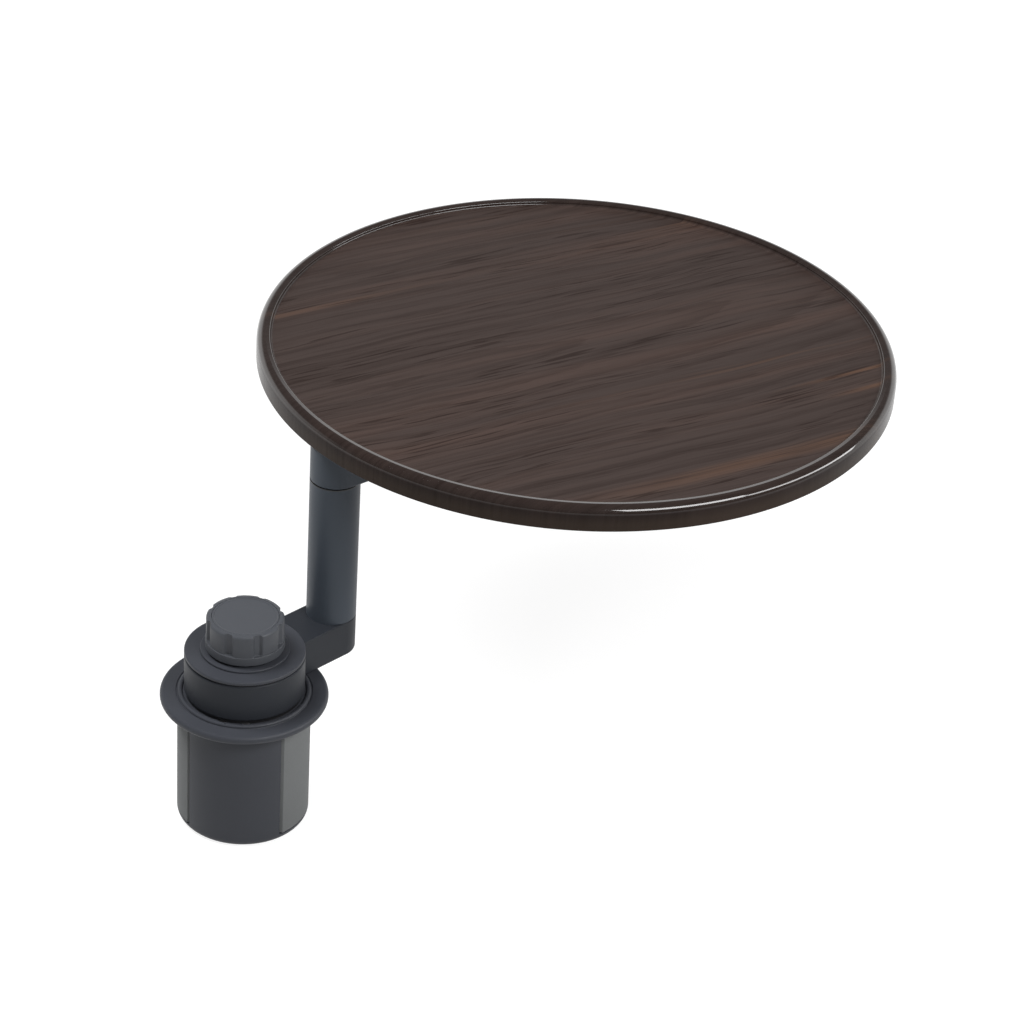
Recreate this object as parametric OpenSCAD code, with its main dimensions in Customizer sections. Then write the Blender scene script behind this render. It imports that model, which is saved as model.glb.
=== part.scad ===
// Round tray table for a car seat, carried by a post that stands in a cup holder.
// Origin: centre of the base's bottom face. +Z up, +X along the lower arm to the post.

/* [Tabletop] */
// Diameter of the tray
table_d = 330; // [250:1:400]
// Height of the tray's edge
edge_h = 13.1; // [12:0.1:20]
// Depth of the sunk field below the rim
field_drop = 2.8; // [1.5:0.1:4]
// Width of the raised rim
rim_w = 7.7; // [6.5:0.1:14]
// Rounding of the rim's outer top edge
rim_round = 4.2; // [1:0.1:5]
// Rounding of the rim's inner top edge
crest_round = 1.2; // [0.4:0.1:1.4]
// Radius of the cove where the rim meets the field
cove_r = 1.4; // [0.5:0.1:1.5]
// Rounding of the tray's bottom edge
under_round = 0.6; // [0.2:0.1:1.5]

/* [Upper arm] */
// Distance from the tray's edge in to the post's axis
post_inset = 13.4; // [13:0.1:60]
// Angle of the upper arm from the lower arm, as stored
table_swing = -7; // [-90:1:90]
// Diameter of the plate under the tray's centre
plate_d = 72; // [60:1:110]
// Thickness of that plate
plate_t = 5; // [3:0.5:8]
// Circle of the plate's screws
plate_pcd = 54; // [48:1:56]
// Distance from the post's axis to the single near screw
near_screw_x = 48; // [30:1:60]
// Length that a table screw bites into the tray
table_bite = 7; // [4:0.5:8]

/* [Lower arm] */
// Distance from the base's axis to the post's axis
lower_reach = 57.7; // [50:0.1:120]
// Height of both arms
arm_h = 20.4; // [16:0.1:26]
// Wall of both arms
arm_wall = 3; // [2:0.1:4]
// Rounding of the arms' long edges
arm_edge = 1; // [0.4:0.1:1.5]
// Outer diameter of the hub
hub_d = 60.4; // [58:0.1:62]
// Radius of the corner between hub and link
corner_r = 8; // [3:0.5:10]

/* [Post] */
// Diameter of the post, and width of both arms
post_d = 25.4; // [22:0.1:28]
// Length of the post that shows between the arms
post_len = 79.2; // [50:0.1:200]
// Wall of the post
post_wall = 1.6; // [1:0.1:2.4]
// Length of the plug and of the bush inside the post
plug_len = 18; // [10:1:22]
// Diameter of the upper arm's pivot pin
pivot_d = 15; // [13:0.5:16]
// Thickness of the swivel bush's flange, which shows as the seam
seam_t = 0.6; // [0.4:0.1:2]
// Diameter of the tie bolt
tie_d = 6; // [5:0.5:7]

/* [Base] */
// Diameter of the closed base
body_d = 67; // [64:0.5:72]
// Height from the bottom face to the underside of the flange
body_h = 69.8; // [68:0.1:90]
// Wall of the base body
wall_t = 2.5; // [2:0.1:3]
// Thickness of the base's floor
floor_t = 4; // [4:0.1:6]
// Rounding of the bottom edge
bottom_round = 4; // [1:0.1:4]
// Width of each jaw across its sides
jaw_w = 45.8; // [42:0.1:47]
// Width of the groove between jaw and wall
groove_w = 1.4; // [0.8:0.1:2]
// Thickness of the rubber pad on a jaw
pad_t = 2.5; // [1.5:0.1:4]
// Angle of the base's front wall round the axis, as stored
base_turn = -51; // [-180:1:180]

/* [Flange and neck] */
// Diameter of the flange
flange_d = 84.4; // [80:0.1:100]
// Thickness of the flange
flange_t = 4.2; // [3:0.1:6]
// Rounding of the flange's edge
flange_round = 1.9; // [0.5:0.1:2]
// Diameter of the neck that the hub turns on
neck_d = 40; // [38:0.5:42]
// Wall of the neck
neck_wall = 3; // [2:0.1:4]
// Thickness of the neck's top
neck_cap_t = 5; // [4:0.5:8]
// Height of the lip above the flange
lip_rise = 1.2; // [0.6:0.1:1.6]
// Width of the lip
lip_w = 2.6; // [1.6:0.1:3]
// Width of the notch in the lip
notch_w = 8.6; // [4:0.1:14]
// Thickness of the friction washer under the hub
hub_washer_t = 1.7; // [1:0.1:3]

/* [Cap ring] */
// Gap between the hub's top and the cap ring
ring_gap = 0.9; // [0.7:0.1:2]
// Thickness of the cap ring's outer part
ring_t = 1.8; // [1.5:0.1:4]
// Diameter of the raised land under the knob
land_d = 44.6; // [40:0.1:52]
// Rise of that land
land_rise = 1.2; // [0.6:0.1:2]
// Circle of the ring screws
ring_pcd = 28; // [28:0.5:30]
// Thickness of the thrust washer under the knob
thrust_t = 1.2; // [0.8:0.1:2]

/* [Knob] */
// Diameter of the knob's skirt
knob_d = 38; // [37:0.5:44]
// Height of the knob
knob_h = 15.6; // [15:0.1:24]
// Height of the plain skirt
skirt_h = 4.7; // [3:0.1:6]
// Number of grip notches
notches = 8; // [6:1:10]
// Radius of a grip notch
notch_r = 1.6; // [1:0.1:2]
// Depth of a grip notch
notch_depth = 1.2; // [0.6:0.1:1.4]
// Rounding of the knob's top edge
knob_round = 2; // [0.5:0.1:2.4]
// Diameter of the cap disc in the knob
cap_d = 31; // [28:0.5:32]
// Thickness of the cap disc
cap_t = 1.5; // [1:0.1:2]
// Angle of the first grip notch, as stored
knob_phase = 19.5; // [0:0.5:45]

/* [Jaw drive] */
// Diameter of the spindle's thread
spindle_d = 8; // [7:0.5:9]
// Travel of the spreader along the spindle
lift = 10; // [6:0.5:12]
// Travel of each jaw
jaw_travel = 7.5; // [4:0.5:8]
// Diameter of the drive pins
pin_d = 3; // [2:0.1:4]
// Distance of the drive pins from the axis
pin_x = 11.5; // [11:0.1:12]
// Height of the spreader
spreader_h = 36; // [30:1:40]
// Width of the spreader between the jaw ribs
spreader_w = 17.8; // [16:0.1:19]
// Thickness of the jaw ribs
rib_t = 3; // [2:0.1:4]

/* [Fits] */
// Radial clearance of turning and sliding fits
fit = 0.06; // [0.02:0.01:0.1]
// Gap between flat faces that turn on each other
face_gap = 0.1; // [0.05:0.05:0.3]
// Gap around parts that slide freely
slide_gap = 0.4; // [0.3:0.05:0.6]

/* [Hidden] */
$fn = 96;
// Small overlap that makes cuts run clear
cut = 1;

body_r = body_d / 2;
guide_y = jaw_w / 2 + groove_w;
bottom_edge = min(bottom_round, floor_t);

flange_r = flange_d / 2;
flange_top = body_h + flange_t;
flange_edge = min(flange_round, flange_t / 2 - 0.1);
neck_r = neck_d / 2;
neck_in = neck_r - neck_wall;
hub_r = hub_d / 2;
hub_bore = neck_r + fit;
// The lip stands just outside the hub
lip_gap = 0.6;
lip_r = hub_r + lip_gap + lip_w / 2;
groove_r = 0.5;

hub_z = flange_top + hub_washer_t + face_gap;
arm_top = hub_z + arm_h;
ring_z = arm_top + ring_gap;
ring_top = ring_z + ring_t;
land_top = ring_top + land_rise;
ring_round = 0.8;
ring_low_round = 0.3;
land_round = 0.5;
knob_z = land_top + thrust_t + face_gap;
knob_top = knob_z + knob_h;
knob_r = knob_d / 2;
skirt_step = 0.2;
grip_r = knob_r - skirt_step;
cap_r = cap_d / 2;
skirt_round = 0.5;
knob_wall = 1.6;
// Rim and depth of the cap disc's dish
dish_rim = 1;
dish_depth = 0.3;

// Washers between the hub and its neighbours
washer_in = hub_bore + slide_gap;
washer_out = hub_r - 2 * slide_gap;

arm_w = post_d;
post_r = post_d / 2;
post_in = post_r - post_wall;
post_top = arm_top + post_len;
upper_z = post_top + seam_t;
table_z = upper_z + arm_h;
table_r = table_d / 2;
field_z = edge_h - field_drop;
upper_reach = table_r - post_inset;

// Spindle sections
spindle_r = spindle_d / 2;
foot_r = spindle_r - 1;
journal_r = spindle_r + 1;
collar_r = journal_r + 2;
collar_t = 2.5;
collar_top = ring_z - neck_cap_t - face_gap;
foot_bush_r = foot_r + 2;
journal_bush_r = journal_r + 2;
drive_w = journal_r * 1.4;
drive_h = 7;
drive_gap = 0.2;
drive_boss_r = journal_r + 4.5;
web_t = 2;
web_z = knob_z + drive_h + drive_gap;
knob_screw_z = web_z + web_t;
knob_screw_len = 12;
// Floor left under the lower bush, and how far the bush stands above the floor
foot_floor = 1.2;
bush_proud = 0.2;

// Jaws and spreader
jaw_z = floor_t + slide_gap;
jaw_h = body_h - floor_t - 2 * slide_gap;
jaw_shell_r = body_r - pad_t;
jaw_shell_t = 2.6;
foot_t = 2.5;
foot_w = 2 * (guide_y - slide_gap);
foot_x = spindle_r + 2;
rib_y = spreader_w / 2 + slide_gap;
rib_x = 0.5;
pin_r = pin_d / 2;
spreader_z = jaw_z + foot_t + 3;
spreader_l = 2 * (pin_x + pin_r + 2);
pin_end = 5;
pin_levels = [spreader_z + pin_end, spreader_z + spreader_h - pin_end];
nut_r = spindle_r + 3;
nut_h = 10;

// Countersunk screws of the base: shank, head and length
small_r = 1.5;
small_head_r = 2.8;
small_head_t = 1.6;
flange_screw = [5.5, guide_y + 2.7];
flange_screw_len = 12;
ring_screw_len = land_top - ring_z + neck_cap_t - 1;
boss_r = small_r + 1.7;

// Tie bolt, washer and nut
tie_r = tie_d / 2;
hex_r = tie_r + 2.77;
bolt_head_t = 4;
bolt_head_z = hub_z + 3;
nut_seat_z = upper_z + arm_h / 2;
nut_t = 5;
tie_washer_t = 1;
nut_room_r = hex_r + 1.7;

// Pan-head screws of the tray and the knob: shank and head
pan_r = 2;
pan_head_r = 4;
pan_head_t = 2.4;
head_gap = 0.3;
pivot_r = pivot_d / 2;
// Spacing of the upper arm's ribs
bay_length = 26;

// Places its children in the base's own turned frame
module in_base() {
    rotate([0, 0, base_turn])
        children();
}

// Places its children in the upper arm's frame, on the post's axis
module on_post() {
    translate([lower_reach, 0, 0])
        rotate([0, 0, table_swing])
            children();
}

// What a rounding takes off the corner at [r, z]; up is 0 for a lower corner and 1 for an upper one
module corner_cut(r, z, round, up) {
    if (round > 0)
        translate([r - round, z])
            mirror([0, up])
                difference() {
                    translate([0, -cut])
                        square([round + cut, round + cut]);
                    translate([0, round])
                        circle(r = round);
                }
}

// Section of a disc or ring from r1 to r2, with its two outer corners rounded
module ring_section(r1, r2, z1, z2, low_round, high_round) {
    difference() {
        translate([r1, z1])
            square([r2 - r1, z2 - z1]);
        corner_cut(r2, z1, low_round, 0);
        corner_cut(r2, z2, high_round, 1);
    }
}

// Flat ring between two radii
module washer(r1, r2, z, t) {
    translate([0, 0, z])
        difference() {
            cylinder(r = r2, h = t);
            translate([0, 0, -cut])
                cylinder(r = r1, h = t + 2 * cut);
        }
}

// Countersunk screw whose head's top is at z, pointing down
module countersunk_screw(z, length) {
    translate([0, 0, z - small_head_t])
        cylinder(r1 = small_r, r2 = small_head_r, h = small_head_t);
    translate([0, 0, z - length])
        cylinder(r = small_r, h = length - small_head_t / 2);
}

// Room for that screw, open at the top
module countersunk_hole(z, length) {
    countersunk_screw(z, length);
    translate([0, 0, z - 0.01])
        cylinder(r = small_head_r, h = cut);
}

// The four places of the flange screws
module at_flange_screws() {
    for (x = [-1, 1], y = [-1, 1])
        translate([x * flange_screw.x, y * flange_screw.y, 0])
            children();
}

// The four places of the ring screws
module at_ring_screws() {
    for (i = [0:3])
        rotate([0, 0, 45 + 90 * i])
            translate([ring_pcd / 2, 0, 0])
                children();
}

// The places of the plate's screws, seen from the tray's centre
module at_plate_screws() {
    for (i = [0:3])
        rotate([0, 0, 45 + 90 * i])
            translate([plate_pcd / 2, 0, 0])
                children();
}

// Section of the tray, from its axis to its edge
module tray_section() {
    sunk_r = table_r - rim_w;
    difference() {
        ring_section(0, table_r, 0, edge_h, under_round, rim_round);
        translate([0, field_z + cove_r])
            square([sunk_r, edge_h]);
        translate([0, field_z])
            square([sunk_r - cove_r, edge_h]);
        translate([sunk_r - cove_r, field_z + cove_r])
            circle(r = cove_r);
        translate([sunk_r - cut, edge_h - crest_round])
            difference() {
                square([crest_round + cut, crest_round + cut]);
                translate([crest_round + cut, 0])
                    circle(r = crest_round);
            }
    }
}

module tabletop() {
    color([0.20, 0.14, 0.12])
        on_post()
            difference() {
                translate([upper_reach, 0, table_z])
                    rotate_extrude($fn = 256)
                        tray_section();
                at_table_screws()
                    translate([0, 0, table_z - cut])
                        cylinder(r = pan_r, h = table_bite + cut);
            }
}

// All screws between the upper arm and the tray
module at_table_screws() {
    translate([near_screw_x, 0, 0])
        children();
    translate([upper_reach, 0, 0])
        at_plate_screws()
            children();
}

// Screw up into the tray, its head under a wall whose underside is at z
module table_screw(z) {
    translate([0, 0, z - pan_head_t])
        cylinder(r = pan_head_r, h = pan_head_t);
    translate([0, 0, z - pan_head_t / 2])
        cylinder(r = pan_r, h = table_z + table_bite - z + pan_head_t / 2);
}

module table_screws() {
    color([0.62, 0.62, 0.64])
        on_post() {
            translate([near_screw_x, 0, 0])
                table_screw(upper_z + arm_wall);
            translate([upper_reach, 0, 0])
                at_plate_screws()
                    table_screw(table_z - plate_t);
        }
}

// Straight link with rounded long edges, from x1 to x2
module link(x1, x2, z) {
    translate([x1, 0, z])
        rotate([90, 0, 90])
            linear_extrude(height = x2 - x1) {
                translate([-arm_w / 2, arm_edge])
                    square([arm_w, arm_h - 2 * arm_edge]);
                translate([-arm_w / 2 + arm_edge, 0])
                    square([arm_w - 2 * arm_edge, arm_h]);
                for (y = [-1, 1], h = [arm_edge, arm_h - arm_edge])
                    translate([y * (arm_w / 2 - arm_edge), h])
                        circle(r = arm_edge);
            }
}

// Round end of a link, on the axis at x
module link_end(x, z) {
    translate([x, 0, 0])
        rotate_extrude()
            ring_section(0, post_r, z, z + arm_h, arm_edge, arm_edge);
}

// Hollow of a link, cut into bays by ribs
module link_bays(x1, x2, z, h) {
    bays = max(1, round((x2 - x1) / bay_length));
    pitch = (x2 - x1 + arm_wall / 2) / bays;
    for (i = [0:bays - 1])
        translate([x1 + i * pitch, -arm_w / 2 + arm_wall, z])
            cube([pitch - arm_wall / 2, arm_w - 2 * arm_wall, h]);
}

module upper_arm() {
    bay_z = upper_z + arm_wall;
    color([0.24, 0.25, 0.28])
        on_post()
            difference() {
                union() {
                    link(0, upper_reach, upper_z);
                    link_end(0, upper_z);
                    link_end(upper_reach, upper_z);
                    translate([upper_reach, 0, 0])
                        rotate_extrude()
                            ring_section(0, plate_d / 2, table_z - plate_t, table_z, arm_edge, 0);
                    translate([0, 0, upper_z - plug_len])
                        cylinder(r = pivot_r, h = plug_len + arm_wall);
                }
                difference() {
                    link_bays(post_r + 1, upper_reach - 2, bay_z, arm_h);
                    translate([near_screw_x, 0, 0])
                        cylinder(r = pan_head_r + arm_wall, h = table_z);
                }
                // Near screw: head room below, shank hole above
                translate([near_screw_x, 0, upper_z - cut])
                    cylinder(r = pan_head_r + head_gap, h = arm_wall + cut);
                translate([near_screw_x, 0, upper_z])
                    cylinder(r = pan_r, h = arm_h + cut);
                translate([upper_reach, 0, table_z - plate_t - cut])
                    at_plate_screws()
                        cylinder(r = pan_r, h = plate_t + 2 * cut);
                // Tie bolt and its nut
                translate([0, 0, upper_z - plug_len - cut])
                    cylinder(r = tie_r + fit, h = plug_len + arm_h);
                translate([0, 0, nut_seat_z])
                    cylinder(r = nut_room_r, h = arm_h);
            }
}

module swivel_bush() {
    color([0.10, 0.10, 0.11])
        translate([lower_reach, 0, 0]) {
            washer(pivot_r + fit, post_in, post_top - plug_len, plug_len);
            washer(pivot_r + fit, post_r, post_top, seam_t - face_gap);
        }
}

module post() {
    color([0.25, 0.26, 0.29])
        translate([lower_reach, 0, 0])
            washer(post_in, post_r, arm_top, post_len);
}

// Rounded inner corner between hub and link, on the side given by y
module hub_corner(y) {
    cx = sqrt(pow(hub_r + corner_r, 2) - pow(arm_w / 2 + corner_r, 2));
    cy = arm_w / 2 + corner_r;
    reach_y = cy * hub_r / (hub_r + corner_r);
    mirror([0, y < 0 ? 1 : 0, 0])
        difference() {
            translate([hub_bore + 2, 0, hub_z])
                cube([cx - hub_bore - 2, reach_y, arm_h]);
            translate([cx, cy, 0])
                rotate_extrude() {
                    translate([0, hub_z - cut])
                        square([corner_r, arm_h + 2 * cut]);
                    for (high = [0, 1])
                        translate([0, hub_z + high * arm_h])
                            mirror([0, high])
                                difference() {
                                    translate([0, -cut])
                                        square([corner_r + arm_edge, arm_edge + cut]);
                                    translate([corner_r + arm_edge, arm_edge])
                                        circle(r = arm_edge);
                                }
                }
        }
}

module lower_arm() {
    color([0.22, 0.23, 0.25])
        difference() {
            union() {
                rotate_extrude()
                    ring_section(hub_bore, hub_r, hub_z, arm_top, arm_edge, arm_edge);
                link(hub_r - arm_wall, lower_reach, hub_z);
                link_end(lower_reach, hub_z);
                hub_corner(1);
                hub_corner(-1);
                translate([lower_reach, 0, arm_top - arm_wall])
                    cylinder(r = post_in, h = plug_len + arm_wall);
            }
            // Hollow of the link, open below
            translate([0, 0, -arm_wall])
                link_bays(hub_r + 1, lower_reach - post_in + 2, hub_z, arm_h);
            // Hollow of the hub, open below and held by ribs
            difference() {
                washer(hub_bore + arm_wall, hub_r - arm_wall, hub_z - cut, arm_h - arm_wall + cut);
                for (i = [0:7])
                    rotate([0, 0, 22.5 + 45 * i])
                        translate([0, -arm_wall / 2, hub_z - cut])
                            cube([hub_r, arm_wall, arm_h + cut]);
            }
            // Tie bolt and its head
            translate([lower_reach, 0, hub_z - cut])
                cylinder(r = tie_r, h = arm_h + plug_len + 2 * cut);
            translate([lower_reach, 0, hub_z - cut])
                cylinder(r = hex_r, h = bolt_head_z + bolt_head_t - hub_z + cut, $fn = 6);
        }
}

module tie_bolt() {
    color([0.55, 0.55, 0.57])
        translate([lower_reach, 0, bolt_head_z]) {
            cylinder(r = hex_r, h = bolt_head_t, $fn = 6);
            cylinder(r = tie_r, h = nut_seat_z + face_gap + tie_washer_t + nut_t + 1 - bolt_head_z);
        }
}

module tie_washer() {
    color([0.62, 0.62, 0.64])
        translate([lower_reach, 0, 0])
            washer(tie_r, hex_r + 0.6, nut_seat_z + face_gap, tie_washer_t);
}

module tie_nut() {
    color([0.55, 0.55, 0.57])
        translate([lower_reach, 0, nut_seat_z + face_gap + tie_washer_t])
            difference() {
                cylinder(r = hex_r, h = nut_t, $fn = 6);
                translate([0, 0, -cut])
                    cylinder(r = tie_r, h = nut_t + 2 * cut);
            }
}

module hub_washer() {
    color([0.08, 0.08, 0.08])
        washer(washer_in, washer_out, flange_top, hub_washer_t);
}

module spring_washer() {
    color([0.30, 0.30, 0.32])
        washer(washer_in, washer_out, arm_top + face_gap, ring_gap - face_gap);
}

module cap_ring() {
    color([0.25, 0.26, 0.28])
        in_base()
            difference() {
                rotate_extrude() {
                    ring_section(journal_r + fit, hub_r, ring_z, ring_top, ring_low_round, ring_round);
                    ring_section(journal_r + fit, land_d / 2, ring_z + ring_t / 2, land_top, 0, land_round);
                }
                at_ring_screws()
                    countersunk_hole(land_top, ring_screw_len);
            }
}

module ring_screws() {
    color([0.55, 0.55, 0.57])
        in_base()
            at_ring_screws()
                countersunk_screw(land_top, ring_screw_len);
}

module thrust_washer() {
    color([0.60, 0.60, 0.62])
        washer(journal_r + slide_gap, ring_pcd / 2 - small_head_r - head_gap, land_top, thrust_t);
}

// Outline of the notched grip
module grip_outline() {
    difference() {
        circle(r = grip_r);
        for (i = [0:notches - 1])
            rotate(knob_phase + i * 360 / notches)
                translate([grip_r + notch_r - notch_depth, 0])
                    circle(r = notch_r);
    }
}

module knob() {
    color([0.30, 0.31, 0.34])
        difference() {
            union() {
                intersection() {
                    translate([0, 0, knob_z + skirt_h / 2])
                        linear_extrude(height = knob_h - skirt_h / 2)
                            grip_outline();
                    rotate_extrude()
                        ring_section(0, grip_r, knob_z, knob_top, 0, knob_round);
                }
                rotate_extrude()
                    ring_section(0, knob_r, knob_z, knob_z + skirt_h, skirt_round, skirt_round);
            }
            // Seat of the cap disc
            translate([0, 0, knob_top - cap_t])
                cylinder(r = cap_r, h = cap_t + cut);
            // Screw and its head
            translate([0, 0, knob_screw_z])
                cylinder(r = pan_head_r + 1, h = knob_h);
            translate([0, 0, knob_z])
                cylinder(r = pan_r + fit, h = knob_h);
            // Square drive
            translate([-drive_w / 2, -drive_w / 2, knob_z - cut])
                cube([drive_w, drive_w, drive_h + drive_gap + cut]);
            // Hollow underside with ribs
            difference() {
                washer(drive_boss_r, grip_r - notch_depth - knob_wall, knob_z - cut, knob_h - cap_t - web_t + cut);
                for (i = [0:3])
                    rotate([0, 0, knob_phase + 45 * i])
                        translate([-knob_r, -knob_wall / 2, knob_z - 2 * cut])
                            cube([knob_d, knob_wall, knob_h]);
            }
        }
}

module knob_cap() {
    color([0.34, 0.35, 0.38])
        translate([0, 0, knob_top - cap_t])
            difference() {
                cylinder(r = cap_r, h = cap_t - face_gap);
                translate([0, 0, cap_t - face_gap - dish_depth])
                    cylinder(r = cap_r - dish_rim, h = cap_t);
            }
}

module knob_screw() {
    color([0.55, 0.55, 0.57])
        translate([0, 0, knob_screw_z]) {
            cylinder(r = pan_head_r, h = pan_head_t);
            translate([0, 0, -knob_screw_len])
                cylinder(r = pan_r, h = knob_screw_len + pan_head_t / 2);
        }
}

module spindle() {
    color([0.58, 0.58, 0.60])
        difference() {
            union() {
                translate([0, 0, foot_floor + slide_gap])
                    cylinder(r = foot_r, h = floor_t);
                translate([0, 0, floor_t + bush_proud + slide_gap])
                    cylinder(r = spindle_r, h = collar_top - collar_t - floor_t);
                translate([0, 0, collar_top - collar_t])
                    cylinder(r = collar_r, h = collar_t);
                translate([0, 0, collar_top - cut])
                    cylinder(r = journal_r, h = knob_z - collar_top + cut);
                translate([-drive_w / 2, -drive_w / 2, knob_z - cut])
                    cube([drive_w, drive_w, drive_h + cut]);
            }
            translate([0, 0, knob_screw_z - knob_screw_len])
                cylinder(r = pan_r, h = knob_screw_len);
        }
}

module upper_bush() {
    color([0.72, 0.60, 0.34])
        washer(journal_r + fit, journal_bush_r, ring_z - neck_cap_t, neck_cap_t);
}

module lower_bush() {
    color([0.72, 0.60, 0.34])
        washer(foot_r + fit, foot_bush_r, foot_floor, floor_t - foot_floor + bush_proud);
}

module spreader() {
    color([0.75, 0.74, 0.70])
        in_base()
            difference() {
                translate([-spreader_l / 2, -spreader_w / 2, spreader_z])
                    cube([spreader_l, spreader_w, spreader_h]);
                translate([0, 0, spreader_z - cut])
                    cylinder(r = nut_r, h = nut_h + cut);
                translate([0, 0, spreader_z])
                    cylinder(r = spindle_r + slide_gap, h = spreader_h + cut);
                at_drive_pins()
                    cylinder(r = pin_r, h = spreader_w + 2 * cut, center = true);
                // Waist between the two pin levels, on both sides
                for (side = [-1, 1])
                    translate([side * spreader_l / 2, 0, spreader_z + spreader_h / 2])
                        cube([2 * (spreader_l / 2 - nut_r), spreader_w + cut, spreader_h - 4 * pin_end],
                            center = true);
            }
}

// The four cross pins' places, turned to lie along Y
module at_drive_pins() {
    for (x = [-pin_x, pin_x], z = pin_levels)
        translate([x, 0, z])
            rotate([90, 0, 0])
                children();
}

module spreader_nut() {
    color([0.72, 0.60, 0.34])
        washer(spindle_r + fit, nut_r, spreader_z, nut_h);
}

module drive_pins() {
    color([0.62, 0.62, 0.64])
        in_base()
            at_drive_pins()
                cylinder(r = pin_r, h = 2 * (rib_y + rib_t), center = true);
}

// Slanting slot in a jaw's ribs, for the pin that rests at height z
module drive_slot(z) {
    slant = atan2(lift, jaw_travel);
    length = sqrt(pow(lift, 2) + pow(jaw_travel, 2));
    deep = 2 * (rib_y + rib_t + cut);
    for (end = [[pin_x, z], [pin_x - jaw_travel, z + lift]])
        translate([end[0], 0, end[1]])
            rotate([90, 0, 0])
                cylinder(r = pin_r + fit, h = deep, center = true);
    translate([pin_x, 0, z])
        rotate([0, slant - 180, 0])
            translate([0, -deep / 2, -pin_r - fit])
                cube([length, deep, 2 * (pin_r + fit)]);
}

// Jaw carrier on the +X side
module jaw() {
    difference() {
        union() {
            // Curved front that carries the pad
            translate([0, 0, jaw_z])
                linear_extrude(height = jaw_h)
                    jaw_band(jaw_shell_r - jaw_shell_t, jaw_shell_r);
            // Feet that slide under the flange and on the floor
            for (z = [jaw_z, jaw_z + jaw_h - foot_t])
                translate([0, 0, z])
                    linear_extrude(height = foot_t)
                        intersection() {
                            circle(r = jaw_shell_r - 1);
                            translate([foot_x, -foot_w / 2])
                                square([body_r, foot_w]);
                        }
            // Ribs that hold the slots
            translate([0, 0, jaw_z])
                linear_extrude(height = jaw_h)
                    intersection() {
                        circle(r = jaw_shell_r - jaw_shell_t / 2);
                        for (y = [-1, 1])
                            translate([rib_x, y * (rib_y + rib_t / 2) - rib_t / 2])
                                square([jaw_shell_r, rib_t]);
                    }
        }
        for (z = pin_levels)
            drive_slot(z);
    }
}

// Curved band of a jaw between two radii
module jaw_band(r1, r2) {
    intersection() {
        difference() {
            circle(r = r2);
            circle(r = r1);
        }
        translate([0, -jaw_w / 2])
            square([body_d, jaw_w]);
    }
}

module pad() {
    translate([0, 0, jaw_z])
        linear_extrude(height = jaw_h)
            jaw_band(jaw_shell_r, body_r);
}

module right_jaw() {
    color([0.20, 0.20, 0.22])
        in_base()
            jaw();
}

module left_jaw() {
    color([0.20, 0.20, 0.22])
        in_base()
            rotate([0, 0, 180])
                jaw();
}

module right_pad() {
    color([0.42, 0.43, 0.42])
        in_base()
            pad();
}

module left_pad() {
    color([0.42, 0.43, 0.42])
        in_base()
            rotate([0, 0, 180])
                pad();
}

module top_flange() {
    color([0.25, 0.26, 0.28])
        in_base()
            difference() {
                rotate_extrude()
                    difference() {
                        union() {
                            ring_section(neck_in, flange_r, body_h, flange_top, flange_edge, flange_edge);
                            translate([neck_in, body_h])
                                square([neck_wall, ring_z - body_h]);
                            translate([journal_bush_r, ring_z - neck_cap_t])
                                square([neck_r - journal_bush_r, neck_cap_t]);
                            translate([lip_r, flange_top + lip_rise - lip_w / 2])
                                circle(d = lip_w);
                        }
                        // Fine groove outside the lip
                        translate([lip_r + lip_w / 2 + slide_gap, flange_top])
                            circle(r = groove_r);
                    }
                // Notch in the lip, at the front
                translate([-notch_w / 2, -lip_r - lip_w / 8, flange_top])
                    cube([notch_w, lip_w, 2 * lip_rise]);
                at_ring_screws()
                    countersunk_screw(land_top, ring_screw_len);
                at_flange_screws()
                    countersunk_hole(flange_top, flange_screw_len);
            }
}

module flange_screws() {
    color([0.55, 0.55, 0.57])
        in_base()
            at_flange_screws()
                countersunk_screw(flange_top, flange_screw_len);
}

// Section of one wall of the base body, on the -Y side
module wall_outline() {
    difference() {
        wall_segment(body_r, guide_y);
        difference() {
            wall_segment(body_r - wall_t, guide_y + wall_t);
            for (side = [-1, 1])
                translate([side * flange_screw.x, -flange_screw.y])
                    circle(r = boss_r);
        }
    }
}

// Part of a circle beyond the line y = -depth
module wall_segment(r, depth) {
    intersection() {
        circle(r = r);
        translate([-r, -r])
            square([2 * r, r - depth]);
    }
}

module base_body() {
    color([0.27, 0.28, 0.30])
        in_base()
            difference() {
                union() {
                    rotate_extrude()
                        ring_section(0, body_r, 0, floor_t, bottom_edge, 0);
                    for (turn = [0, 180])
                        rotate([0, 0, turn])
                            translate([0, 0, floor_t])
                                linear_extrude(height = body_h - floor_t)
                                    wall_outline();
                }
                translate([0, 0, foot_floor])
                    cylinder(r = foot_bush_r, h = floor_t);
                at_flange_screws()
                    countersunk_screw(flange_top, flange_screw_len);
            }
}

tabletop();
table_screws();
upper_arm();
swivel_bush();
post();
lower_arm();
tie_bolt();
tie_washer();
tie_nut();
hub_washer();
spring_washer();
cap_ring();
ring_screws();
thrust_washer();
knob();
knob_cap();
knob_screw();
spindle();
upper_bush();
lower_bush();
spreader();
spreader_nut();
drive_pins();
left_jaw();
right_jaw();
left_pad();
right_pad();
top_flange();
flange_screws();
base_body();
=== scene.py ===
import math

import bmesh
import bpy
from bpy.props import FloatProperty, FloatVectorProperty, IntProperty, PointerProperty
from bpy.types import Operator, Panel, PropertyGroup
from mathutils import Matrix, Vector


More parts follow.
